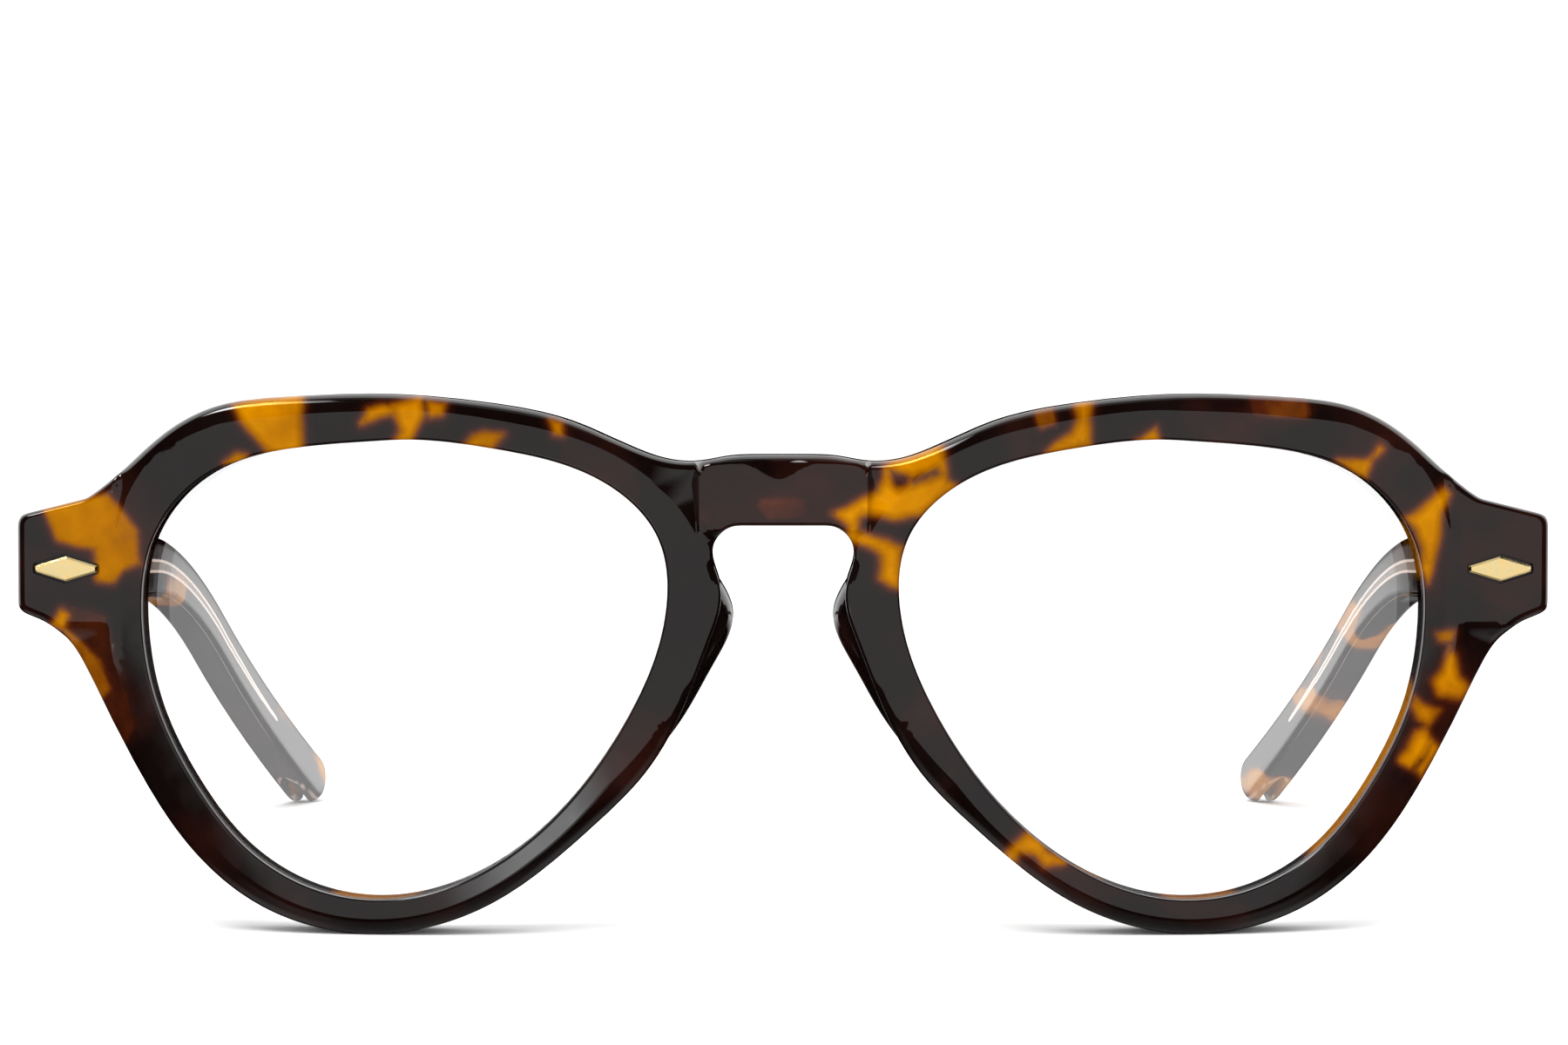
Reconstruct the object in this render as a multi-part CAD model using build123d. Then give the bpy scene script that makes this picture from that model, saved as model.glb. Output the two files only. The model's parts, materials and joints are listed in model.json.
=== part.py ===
from build123d import *
import math
import os

# Eyeglasses with a chunky keyhole-bridge acetate front, in millimetres.
# +Z is up and the lenses look along -Y. The glasses stand open on a flat surface at z = 0, on the two
# rim bottoms and the two temple tips. The origin is under the middle of the whole object.
# Sides are the wearer's: left is +X, right is -X.

# Front: overall size, and the bow of its face about a vertical axis.
FRONT_WIDTH = 148.0
FRONT_HEIGHT = 51.9
FRONT_DEPTH = 7.5
FACE_RADIUS = 345.0
OVERALL_DEPTH = 139.0
FACE_Y = -OVERALL_DEPTH / 2
HALF_WIDTH = FRONT_WIDTH / 2
CORNER_RADIUS = 1.0

# End pieces: where their square backs start, beyond the bowed rims.
END_RAMP_X = 60.0
END_FLAT_X = 64.0

# Lenses and the groove that holds them.
LENS_CENTRE = (38.0, 28.0)
LENS_THICKNESS = 2.0
LENS_SETBACK = 2.6
GROOVE_DEPTH = 0.8
GROOVE_PLAY = 0.05

# Hinge: axis, barrels, leaves and screw.
HINGE_X = 67.0
HINGE_Y = FACE_Y + 15.0
HINGE_Z = 35.0
BARREL_RADIUS = 1.25
BARREL_COUNT = 5
BARREL_HEIGHT = 1.1
BARREL_GAP = 0.06
BARREL_ROOM = 0.3
LEAF_HEIGHT = BARREL_COUNT * BARREL_HEIGHT
LEAF_THICKNESS = 1.0
LEAF_SETBACK = 2.5
LEAF_REACH = 5.4
LEAF_PLAY = 0.05
SCREW_RADIUS = 0.55
SCREW_HEAD_RADIUS = 1.0
SCREW_HEAD_HEIGHT = 0.5
SCREW_SLOT = 0.3
RUNNING_FIT = 0.05
BUTT_GAP = 0.15
TEMPLE_LEAF_LENGTH = 9.0
TEMPLE_ARM_REACH = 0.5

# Temples: thickness, height at the hinge, and where the ear bend starts and ends.
TEMPLE_THICKNESS = 4.0
TEMPLE_INNER_X = HINGE_X + 1.4
TEMPLE_END_HEIGHT = 8.2
TEMPLE_REAR_Y = FACE_Y + OVERALL_DEPTH
TEMPLE_TIP_X = 58.6
TEMPLE_CURVE_Y = FACE_Y + 55.0
BEND_Y = FACE_Y + 85.0
BEND_Z = 31.6
BEND_HEIGHT = 6.2
BEND_RADIUS = 78.0
TIP_Z = 1.35
TIP_HEIGHT = 6.6
TIP_ROUNDING = TIP_HEIGHT * 0.42
CORE_HEIGHT = 1.6
CORE_THICKNESS = 1.2
CORE_PLAY = 0.05
CORE_END_Y = TEMPLE_REAR_Y - 17.0
RIVET_RADIUS = 0.55
RIVET_LENGTH = 2.6
RIVET_PLACES = (3.6, 6.8)

# Decorative plaque on each end piece, whose two shanks hold the front hinge leaf.
PLAQUE_X = 69.2
PLAQUE_LENGTH = 6.2
PLAQUE_HEIGHT = 2.4
PLAQUE_THICKNESS = 0.7
PLAQUE_PROUD = 0.15
PLAQUE_BEVEL = 0.3
PLAQUE_TIP = 0.12
POCKET_MARGIN = 0.25
SHANK_RADIUS = 0.5
SHANK_SPACING = 3.0
SHANK_DEPTH = 10.0
FIT = 0.02

# Nose pads, glued behind the nose side of the rims.
PAD_START = 3.6
PAD_BACK = 3.6

SIDES = {"left": 1, "right": -1}
BEYOND = 100.0


def side_of(shape, sign):
    """The shape modelled at +X, or its mirror image at -X."""
    return shape if sign > 0 else mirror(shape, Plane.YZ)


def box_between(low, high):
    """A box from its lowest to its highest corner."""
    size = [high[i] - low[i] for i in range(3)]
    middle = [(high[i] + low[i]) / 2 for i in range(3)]
    return Pos(*middle) * Box(*size)


def face_y(x):
    """Y of the bowed face of the front at a distance x from the middle."""
    return FACE_Y + FACE_RADIUS - math.sqrt(FACE_RADIUS**2 - x**2)


def through_front(face):
    """A face drawn in X and Z, extruded in Y right through the front."""
    return extrude(Plane.XZ.offset(-BEYOND) * face, amount=2 * BEYOND)


def through_height(face):
    """A face drawn in X and Y, extruded in Z past the top and bottom of the glasses."""
    return extrude(Plane.XY.offset(-BEYOND) * face, amount=2 * BEYOND)


def bowed_slab(setback, thickness):
    """A sheet parallel to the bowed face, some way behind it."""
    reach = HALF_WIDTH + 1
    arcs = []
    for depth in (setback, setback + thickness):
        radius = FACE_RADIUS - depth
        end_y = FACE_Y + FACE_RADIUS - math.sqrt(radius**2 - reach**2)
        arcs.append(ThreePointArc((-reach, end_y), (0, FACE_Y + depth), (reach, end_y)))
    ends = [Line(arcs[0] @ end, arcs[1] @ end) for end in (0, 1)]
    return through_height(make_face([*arcs, *ends]))


def front_outline():
    """The front seen face on: brow, end piece, rim, nose and keyhole, drawn for +X and mirrored."""
    bridge_top = Line((0, 46.1), (5.5, 46.1))
    brow = Spline(
        (5.5, 46.1), (9.9, 45.4), (13.2, 46.3), (20.2, 49.3), (28.0, 51.0), (39.0, FRONT_HEIGHT),
        (48.0, 51.6), (54.6, 50.7), (59.2, 48.4), (63.6, 44.6), (67.2, 41.8),
    )
    end_top = Line((67.2, 41.8), (HALF_WIDTH, 40.1))
    end_side = Line((HALF_WIDTH, 40.1), (HALF_WIDTH, 30.9))
    end_bottom = Line((HALF_WIDTH, 30.9), (71.7, 30.0))
    rim = Spline(
        (71.7, 30.0), (69.7, 28.6), (67.4, 25.2), (64.8, 20.1), (62.1, 15.1), (57.7, 8.6), (51.0, 2.9),
        (40.0, 0.0), (28.4, 2.8), (18.2, 10.5), (13.2, 15.6), (10.2, 20.5), (8.4, 24.8), (6.8, 29.0),
        (5.9, 32.4), (6.2, 34.4), (6.8, 36.8), (5.9, 38.7), (4.2, 39.4),
    )
    key_top = Line((4.2, 39.4), (0, 39.4))
    closing = Line((0, 39.4), (0, 46.1))
    half_face = make_face([bridge_top, brow, end_top, end_side, end_bottom, rim, key_top, closing])
    corners = half_face.vertices().filter_by(lambda v: v.X > HALF_WIDTH - 1)
    half_face = fillet(corners, CORNER_RADIUS)
    return half_face + mirror(half_face, Plane.YZ)


def lens_outline(outset=0):
    """The left lens opening seen face on, or with an outset the same shape that much larger."""
    points = [
        (37.5, 47.5), (47.0, 46.7), (55.6, 43.9), (60.8, 37.6), (61.8, 31.0), (60.2, 21.6), (56.6, 14.4),
        (51.8, 8.4), (44.8, 4.3), (37.0, 3.5), (29.5, 5.8), (20.8, 12.6), (14.3, 22.0), (11.2, 31.0),
        (12.0, 38.4), (17.6, 43.8), (27.0, 46.6),
    ]
    centre = Vector(*LENS_CENTRE)
    outward = [(Vector(*point) - centre).normalized() for point in points]
    moved = [Vector(*point) + out * outset for point, out in zip(points, outward)]
    return make_face(Spline(*moved, periodic=True))


def front_plan():
    """The front seen from above: bowed rims, and square end-piece backs that the temples butt against."""
    back_y = HINGE_Y - BUTT_GAP
    back_radius = FACE_RADIUS - FRONT_DEPTH
    ramp_y = FACE_Y + FACE_RADIUS - math.sqrt(back_radius**2 - END_RAMP_X**2)
    over = HALF_WIDTH + 1
    face_arc = ThreePointArc((-over, face_y(over)), (0, FACE_Y), (over, face_y(over)))
    back_arc = ThreePointArc((-END_RAMP_X, ramp_y), (0, FACE_Y + FRONT_DEPTH), (END_RAMP_X, ramp_y))
    edges = [*face_arc.edges(), *back_arc.edges()]
    for s in (1, -1):
        corners = [(END_RAMP_X, ramp_y), (END_FLAT_X, back_y), (over, back_y), (over, face_y(over))]
        edges += Polyline(*[(s * x, y) for x, y in corners]).edges()
    return make_face(edges)


def lens(sign):
    """A thin curved lens, a groove's depth larger than its opening all round."""
    outline = lens_outline(GROOVE_DEPTH - GROOVE_PLAY)
    return side_of(bowed_slab(LENS_SETBACK, LENS_THICKNESS) & through_front(outline), sign)


def on_face(x, z):
    """The plane touching the bowed face at x, z, facing out of it, with its own x level."""
    slope = math.asin(x / FACE_RADIUS)
    outward = (math.sin(slope), -math.cos(slope), 0)
    level = (math.cos(slope), math.sin(slope), 0)
    return Plane(origin=(x, face_y(x), z), x_dir=level, z_dir=outward)


def lozenge(length, height):
    """A plain symmetrical lozenge with blunt ends."""
    tip = height * PLAQUE_TIP
    return make_face(
        Polyline(
            (-length / 2, -tip), (0, -height / 2), (length / 2, -tip),
            (length / 2, tip), (0, height / 2), (-length / 2, tip),
            close=True,
        )
    )


def shank_places():
    return [Pos(s * SHANK_SPACING / 2, 0, 0) for s in (-1, 1)]


def shanks(radius):
    """The plaque's two shanks, or with a larger radius their holes, down to the hinge leaf."""
    plane = on_face(PLAQUE_X, HINGE_Z)
    rod = Pos(0, 0, -SHANK_DEPTH / 2) * Cylinder(radius, SHANK_DEPTH)
    rods = [plane * place * rod for place in shank_places()]
    leaf_back = HINGE_Y - BUTT_GAP - LEAF_SETBACK + LEAF_THICKNESS
    behind = box_between((HINGE_X - 5, leaf_back, 0), (HALF_WIDTH, leaf_back + 20, FRONT_HEIGHT))
    return (rods[0] + rods[1]) - behind


def plaque(sign):
    """Gold lozenge with a low facetted crown, standing in a pocket, and its two shanks."""
    plane = on_face(PLAQUE_X, HINGE_Z)
    bottom = PLAQUE_PROUD - PLAQUE_THICKNESS
    body = extrude(Pos(0, 0, bottom) * lozenge(PLAQUE_LENGTH, PLAQUE_HEIGHT), amount=PLAQUE_THICKNESS)
    crown = body.faces().sort_by(Axis.Z)[-1].edges()
    body = plane * chamfer(crown, PLAQUE_BEVEL)
    reach = PLAQUE_LENGTH
    below_pocket = plane * box_between((-reach, -reach, -SHANK_DEPTH), (reach, reach, bottom))
    return side_of(body + (shanks(SHANK_RADIUS) & below_pocket), sign)


def plaque_pocket():
    """The pocket for the plaque in the end piece's face."""
    size = POCKET_MARGIN * 2
    opening = lozenge(PLAQUE_LENGTH + size, PLAQUE_HEIGHT + size)
    depth = PLAQUE_THICKNESS - PLAQUE_PROUD
    return on_face(PLAQUE_X, HINGE_Z) * (Pos(0, 0, -depth) * extrude(opening, amount=depth * 5))


def barrel_levels(first):
    """The middle heights of every other barrel, from the first."""
    lowest = HINGE_Z - LEAF_HEIGHT / 2 + BARREL_HEIGHT / 2
    return [lowest + i * BARREL_HEIGHT for i in range(first, BARREL_COUNT, 2)]


def screw_bore():
    bore = Cylinder(SCREW_RADIUS + RUNNING_FIT, LEAF_HEIGHT + 4)
    return Pos(HINGE_X, HINGE_Y, HINGE_Z) * bore


def front_leaf(sign):
    """Leaf let into the back of the end piece, with three barrels on its inner end."""
    back = HINGE_Y - BUTT_GAP
    height = LEAF_HEIGHT / 2
    plate_y = back - LEAF_SETBACK
    low = (HINGE_X - BARREL_RADIUS, plate_y, HINGE_Z - height)
    leaf = box_between(low, (HINGE_X + LEAF_REACH, plate_y + LEAF_THICKNESS, HINGE_Z + height))
    for level in barrel_levels(0):
        half = (BARREL_HEIGHT - BARREL_GAP) / 2
        barrel = Pos(HINGE_X, HINGE_Y, level) * Cylinder(BARREL_RADIUS, half * 2)
        arm_low = (HINGE_X - BARREL_RADIUS, plate_y, level - half)
        barrel += box_between(arm_low, (HINGE_X + BARREL_RADIUS, HINGE_Y, level + half))
        leaf += barrel
    return side_of(leaf - screw_bore() - shanks(SHANK_RADIUS + FIT), sign)


def leaf_pocket():
    """The slot for the front leaf and the recess round the barrels."""
    back = HINGE_Y - BUTT_GAP
    plate_y = back - LEAF_SETBACK
    height = LEAF_HEIGHT / 2 + LEAF_PLAY
    slot_low = (HINGE_X - BARREL_RADIUS - LEAF_PLAY, plate_y - LEAF_PLAY, HINGE_Z - height)
    slot_high = (HINGE_X + LEAF_REACH + LEAF_PLAY, plate_y + LEAF_THICKNESS + LEAF_PLAY, HINGE_Z + height)
    room = BARREL_RADIUS + BARREL_ROOM
    recess_low = (HINGE_X - room, plate_y, HINGE_Z - height - BARREL_ROOM)
    recess_high = (HINGE_X + room, back + BARREL_RADIUS, HINGE_Z + height + SCREW_HEAD_HEIGHT + BARREL_ROOM)
    return box_between(slot_low, slot_high) + box_between(recess_low, recess_high)


def temple_leaf(sign):
    """Leaf let into the inner face of the temple, with two barrels at its front end."""
    height = LEAF_HEIGHT / 2
    low = (TEMPLE_INNER_X, HINGE_Y + BUTT_GAP, HINGE_Z - height)
    leaf = box_between(low, (TEMPLE_INNER_X + LEAF_THICKNESS, HINGE_Y + TEMPLE_LEAF_LENGTH, HINGE_Z + height))
    for level in barrel_levels(1):
        half = (BARREL_HEIGHT - BARREL_GAP) / 2
        barrel = Pos(HINGE_X, HINGE_Y, level) * Cylinder(BARREL_RADIUS, half * 2)
        arm_high = (TEMPLE_INNER_X + TEMPLE_ARM_REACH, HINGE_Y + BARREL_RADIUS, level + half)
        barrel += box_between((HINGE_X, HINGE_Y + BUTT_GAP, level - half), arm_high)
        leaf += barrel
    return side_of(leaf - screw_bore() - rivet_pair(RIVET_RADIUS + FIT), sign)


def temple_leaf_pocket():
    """The pocket for the temple leaf, open to the inner face and the front end."""
    height = LEAF_HEIGHT / 2 + LEAF_PLAY
    low = (TEMPLE_INNER_X - 1, HINGE_Y - 1, HINGE_Z - height)
    rear_y = HINGE_Y + TEMPLE_LEAF_LENGTH + LEAF_PLAY
    return box_between(low, (TEMPLE_INNER_X + LEAF_THICKNESS + FIT, rear_y, HINGE_Z + height))


def rivet_pair(radius):
    """Two rivets, or with a larger radius their holes, that pin the temple's leaf."""
    rivets = []
    for along in RIVET_PLACES:
        start_x = TEMPLE_INNER_X + RIVET_LENGTH / 2
        place = Pos(start_x, HINGE_Y + along, HINGE_Z) * Rot(0, 90, 0)
        rivets.append(place * Cylinder(radius, RIVET_LENGTH))
    return rivets[0] + rivets[1]


def hinge_screw(sign):
    """Slotted hinge screw, put in from above."""
    length = LEAF_HEIGHT + SCREW_HEAD_HEIGHT
    top = HINGE_Z + LEAF_HEIGHT / 2
    shank = Pos(0, 0, top - length / 2 + SCREW_HEAD_HEIGHT / 2) * Cylinder(SCREW_RADIUS, length)
    head = Pos(0, 0, top + SCREW_HEAD_HEIGHT / 2) * Cylinder(SCREW_HEAD_RADIUS, SCREW_HEAD_HEIGHT)
    slot = Pos(0, 0, top + SCREW_HEAD_HEIGHT) * Box(SCREW_HEAD_RADIUS * 3, SCREW_SLOT, SCREW_HEAD_HEIGHT)
    return side_of(Pos(HINGE_X, HINGE_Y, 0) * (shank + head - slot), sign)


def temple_side(height_end, height_bend, height_tip, start_y, end_y):
    """A strip drawn in Y and Z: straight to the ear bend, then down to the tip."""
    fall = (BEND_Z - TIP_Z) / (TEMPLE_REAR_Y - BEND_Y)
    end_z = BEND_Z - fall * (end_y - BEND_Y)
    slope_z = HINGE_Z + (BEND_Z - HINGE_Z) * (start_y - HINGE_Y) / (BEND_Y - HINGE_Y)
    upper = FilletPolyline(
        (start_y, slope_z + height_end / 2), (BEND_Y, BEND_Z + height_bend / 2),
        (end_y, end_z + height_tip / 2), radius=BEND_RADIUS + height_bend / 2,
    )
    lower = FilletPolyline(
        (start_y, slope_z - height_end / 2), (BEND_Y, BEND_Z - height_bend / 2),
        (end_y, end_z - height_tip / 2), radius=BEND_RADIUS - height_bend / 2,
    )
    front_end = Line(upper @ 0, lower @ 0)
    rear_end = Line(upper @ 1, lower @ 1)
    return make_face([*upper.edges(), *lower.edges(), front_end, rear_end])


def temple_plan(inner_x, thickness, start_y, end_y):
    """A strip drawn in X and Y: straight from the hinge, then curving in to the tip."""
    share = (end_y - TEMPLE_CURVE_Y) / (TEMPLE_REAR_Y - TEMPLE_CURVE_Y)
    tip_inner_x = inner_x - (TEMPLE_INNER_X + TEMPLE_THICKNESS / 2 - TEMPLE_TIP_X) * share**2
    edges = []
    for x, tip_x in ((inner_x, tip_inner_x), (inner_x + thickness, tip_inner_x + thickness)):
        edges.append(Line((x, start_y), (x, TEMPLE_CURVE_Y)))
        edges.append(TangentArc((x, TEMPLE_CURVE_Y), (tip_x, end_y), tangent=(0, 1)))
    edges.append(Line((inner_x, start_y), (inner_x + thickness, start_y)))
    edges.append(Line((tip_inner_x, end_y), (tip_inner_x + thickness, end_y)))
    return make_face(edges)


def temple_bar(side_face, plan_face):
    """The solid that shows one strip from the side and the other from above."""
    from_side = extrude(Plane.YZ * side_face, amount=BEYOND)
    return from_side & through_height(plan_face)


def core_bar(play):
    """The wire in the temple, or with play its channel."""
    start_y = HINGE_Y + TEMPLE_LEAF_LENGTH + LEAF_PLAY + 2 * CORE_PLAY - play
    middle_x = TEMPLE_INNER_X + TEMPLE_THICKNESS / 2
    height = CORE_HEIGHT + play * 2
    thickness = CORE_THICKNESS + play * 2
    side_face = temple_side(height, height, height, start_y, CORE_END_Y + play)
    plan_face = temple_plan(middle_x - thickness / 2, thickness, start_y, CORE_END_Y + play)
    return temple_bar(side_face, plan_face)


def temple(sign):
    """Acetate temple with a rounded tip, the leaf's pocket, the rivet holes and the wire's channel."""
    start_y = HINGE_Y + BUTT_GAP
    side_face = temple_side(TEMPLE_END_HEIGHT, BEND_HEIGHT, TIP_HEIGHT, start_y, TEMPLE_REAR_Y)
    tip_corners = side_face.vertices().filter_by(lambda v: v.X > TEMPLE_REAR_Y - 0.1)
    side_face = fillet(tip_corners, TIP_ROUNDING)
    plan_face = temple_plan(TEMPLE_INNER_X, TEMPLE_THICKNESS, start_y, TEMPLE_REAR_Y)
    bar = temple_bar(side_face, plan_face)
    above_floor = box_between((0, -BEYOND, 0), (BEYOND, BEYOND, BEYOND))
    bar = bar & above_floor
    bar = bar - temple_leaf_pocket() - rivet_pair(RIVET_RADIUS) - core_bar(CORE_PLAY)
    return side_of(bar, sign)


def nose_pad():
    """Pad behind the nose side of the left rim, standing proud of it towards the nose."""
    nose_edge = Spline((7.4, 35.6), (5.7, 33.2), (4.85, 31.0), (6.7, 25.8), (9.6, 20.7), (13.0, 16.3))
    rim_edge = Spline((13.0, 16.3), (13.7, 18.4), (11.0, 24.0), (8.8, 30.0), (7.4, 35.6))
    outline = make_face([nose_edge, rim_edge])
    depth = FRONT_DEPTH - PAD_START + PAD_BACK
    return bowed_slab(PAD_START, depth) & through_front(outline)


def front_frame():
    """The front, with its lens openings, grooves, plaque pockets and hinge pockets."""
    body = through_height(front_plan()) & through_front(front_outline())
    for sign in SIDES.values():
        body -= side_of(through_front(lens_outline()), sign)
        groove_outline = lens_outline(GROOVE_DEPTH)
        groove = bowed_slab(LENS_SETBACK - GROOVE_PLAY, LENS_THICKNESS + 2 * GROOVE_PLAY)
        body -= side_of(groove & through_front(groove_outline), sign)
        body -= side_of(plaque_pocket() + shanks(SHANK_RADIUS) + leaf_pocket(), sign)
    return body


def write(name, shape):
    export_step(shape, f"parts/{name}.step")


os.makedirs("parts", exist_ok=True)
frame = front_frame()
write("front_frame", frame)
for side, sign in SIDES.items():
    write(f"{side}_lens", lens(sign))
    write(f"{side}_nose_pad", side_of(nose_pad() - frame, sign))
    write(f"{side}_front_plaque", plaque(sign))
    write(f"{side}_front_hinge_leaf", front_leaf(sign))
    write(f"{side}_hinge_screw", hinge_screw(sign))
    write(f"{side}_temple_hinge_leaf", temple_leaf(sign))
    write(f"{side}_temple_rivets", side_of(rivet_pair(RIVET_RADIUS), sign))
    write(f"{side}_core_wire", side_of(core_bar(0), sign))
    write(f"{side}_temple", temple(sign))
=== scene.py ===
import json
import math

import bmesh
import bpy
import numpy as np
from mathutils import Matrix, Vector
from mathutils.geometry import delaunay_2d_cdt
from mathutils.kdtree import KDTree


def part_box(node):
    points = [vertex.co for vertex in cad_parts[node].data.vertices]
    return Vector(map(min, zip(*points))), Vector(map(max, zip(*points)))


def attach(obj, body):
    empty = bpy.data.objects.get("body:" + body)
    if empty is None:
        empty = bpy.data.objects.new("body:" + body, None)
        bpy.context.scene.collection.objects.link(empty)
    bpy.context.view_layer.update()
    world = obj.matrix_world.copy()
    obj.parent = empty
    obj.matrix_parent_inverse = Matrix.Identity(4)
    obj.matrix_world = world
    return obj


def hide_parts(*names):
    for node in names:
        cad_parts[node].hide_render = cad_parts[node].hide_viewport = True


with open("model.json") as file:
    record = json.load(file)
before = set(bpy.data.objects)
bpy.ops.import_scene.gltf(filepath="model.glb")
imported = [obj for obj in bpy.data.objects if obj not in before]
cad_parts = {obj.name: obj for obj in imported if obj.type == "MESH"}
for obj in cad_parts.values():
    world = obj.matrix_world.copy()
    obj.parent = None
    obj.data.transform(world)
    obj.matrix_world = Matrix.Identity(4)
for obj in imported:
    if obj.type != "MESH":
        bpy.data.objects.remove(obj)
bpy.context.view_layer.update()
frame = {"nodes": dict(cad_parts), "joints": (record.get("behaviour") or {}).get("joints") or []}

# The glasses' looks. Lengths are in millimetres until a mesh is made, and MM turns them into metres.
MM = 0.001
SIDES = {"left": 1, "right": -1}


def box_mm(node):
    low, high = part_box(node)
    return np.array(low) / MM, np.array(high) / MM


FRONT_LOW, FRONT_HIGH = box_mm("front_frame")
HINGE = np.abs(np.array(frame["joints"][0]["pos_m"])) / MM * (1, -1, 1)
FACE_Y = FRONT_LOW[1]
FACE_RADIUS = 345.0
FRONT_DEPTH = 7.5
LENS_MIDDLE = np.array((38.0, 28.0))
# Further from a line than any distance that matters.
FAR_AWAY = 9.0


# ---- outlines read from the CAD frame

# Points nearer than WELD metres are one. A face looks a way if its normal is within 60 degrees of it.
WELD = 1e-6
FACING_LEAST = 0.5


def boundary_loops(node, facing):
    """The closed edges round the faces of a CAD node that look one way, longest first, in mm."""
    mesh = bmesh.new()
    mesh.from_mesh(frame["nodes"][node].data)
    bmesh.ops.remove_doubles(mesh, verts=mesh.verts, dist=WELD)
    mesh.normal_update()
    way = Vector(facing)
    chosen = {f for f in mesh.faces if f.normal.dot(way) > FACING_LEAST}
    neighbours = {}
    for edge in mesh.edges:
        if len([f for f in edge.link_faces if f in chosen]) == 1:
            a, b = edge.verts
            neighbours.setdefault(a, []).append(b)
            neighbours.setdefault(b, []).append(a)
    loops = []
    unused = {v: None for v in mesh.verts if v in neighbours}
    while unused:
        here = next(iter(unused))
        loop = []
        while here is not None:
            del unused[here]
            loop.append(here.co[:])
            here = next((v for v in neighbours[here] if v in unused), None)
        loops.append(np.array(loop) / MM)
    mesh.free()
    return sorted(loops, key=lambda loop: -np.linalg.norm(np.roll(loop, -1, 0) - loop, axis=1).sum())


def softened(loop):
    """Each point moved half way to the middle of its neighbours."""
    return loop * 0.5 + (np.roll(loop, 1, 0) + np.roll(loop, -1, 0)) * 0.25


def evenly(loop, step, soften=0.0):
    """A closed 2-D loop with points a step apart, softened over that length."""
    closed = np.vstack([loop, loop[:1]])
    reach = np.concatenate([[0], np.cumsum(np.linalg.norm(np.diff(closed, axis=0), axis=1))])
    count = int(round(reach[-1] / step))
    at = np.arange(count) * reach[-1] / count
    even = np.stack([np.interp(at, reach, closed[:, i]) for i in (0, 1)], axis=1)
    for _ in range(int(round(soften / step))):
        even = softened(even)
    return even


def outward(loop):
    """Unit normals of a closed loop, pointing out of what it encloses."""
    along = np.roll(loop, -1, 0) - np.roll(loop, 1, 0)
    normal = np.stack([along[:, 1], -along[:, 0]], axis=1)
    normal /= np.linalg.norm(normal, axis=1)[:, None]
    following = np.roll(loop, -1, 0)
    area = (loop[:, 0] * following[:, 1] - following[:, 0] * loop[:, 1]).sum()
    return normal if area > 0 else -normal


def inside(points, loop):
    """Which points lie within a closed loop."""
    result = np.zeros(len(points), bool)
    x, y = points[:, 0], points[:, 1]
    for (x0, y0), (x1, y1) in zip(loop, np.roll(loop, -1, 0)):
        if y0 != y1:
            crossing = (y0 > y) != (y1 > y)
            result ^= crossing & (x < (x1 - x0) * (y - y0) / (y1 - y0) + x0)
    return result


DENSE_STEP = 0.05


def distance_to(loops):
    """A function that gives each point's distance to the nearest of some loops."""
    dense = np.vstack([evenly(loop, DENSE_STEP) for loop in loops])
    tree = KDTree(len(dense))
    for index, (x, y) in enumerate(dense):
        tree.insert((x, y, 0), index)
    tree.balance()
    return lambda points: np.array([tree.find((x, y, 0))[2] for x, y in points])


def smooth_step(low, high, value):
    share = np.clip((value - low) / (high - low), 0, 1)
    return share * share * (3 - 2 * share)


def edge_round(distance, radius):
    """How far a rounded edge falls away at a distance from the outline."""
    inset = np.clip(radius - distance, 0, radius)
    return radius - np.sqrt(np.clip(radius**2 - inset**2, 0, None))


def insets(radius, count=6):
    """Distances from an outline that follow the curve of a rounded edge."""
    return [radius * (1 - math.cos(math.pi / 2 * k / count)) for k in range(1, count + 1)]


# ---- slabs: two shaped faces and a wall

# A gap in a loop wider than LONGEST_STEP stays open. The other two are parts of the mesh's spacing.
LONGEST_STEP = 1.2
ROW_STEP = 0.87
CLEAR_OF_LINES = 0.45
CDT_PRECISION = 1e-5


def joined(loops):
    """The edges along some loops whose points are numbered in one run; a wide gap in a loop stays open."""
    edges = []
    start = 0
    for loop in loops:
        count = len(loop)
        steps = np.linalg.norm(np.roll(loop, -1, 0) - loop, axis=1)
        edges += [(start + i, start + (i + 1) % count) for i in range(count) if steps[i] < LONGEST_STEP]
        start += count
    return edges


def within(points, outer, holes):
    """Which points lie inside the outline and outside its holes."""
    keep = inside(points, outer)
    for hole in holes:
        keep &= ~inside(points, hole)
    return keep


def triangle_grid(outer, spacing):
    """Points in staggered rows over an outline's box."""
    x0, y0 = outer.min(0)
    x1, y1 = outer.max(0)
    return np.array([
        (x + (row % 2) * spacing / 2, y)
        for row, y in enumerate(np.arange(y0, y1, spacing * ROW_STEP))
        for x in np.arange(x0, x1, spacing)
    ])


def flat_mesh(outer, holes, creases, spacing):
    """A flat triangle mesh that follows the loops: its points, triangles and each loop point's number."""
    loops = [outer, *holes, *creases]
    grid = triangle_grid(outer, spacing)
    keep = within(grid, outer, holes) & (distance_to(loops)(grid) > spacing * CLEAR_OF_LINES)
    flat = [Vector((float(x), float(y))) for x, y in np.vstack([*loops, grid[keep]])]
    made, _, triangles, origins, _, _ = delaunay_2d_cdt(flat, joined(loops), [], 0, CDT_PRECISION)
    made = np.array([v[:] for v in made])
    triangles = np.array(triangles)
    triangles = triangles[within(made[triangles].mean(1), outer, holes)]
    used = np.unique(triangles)
    renumber = np.full(len(made), -1)
    renumber[used] = np.arange(len(used))
    new_index = {old: renumber[new] for new, olds in enumerate(origins) for old in olds}
    return made[used], renumber[triangles], new_index


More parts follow.
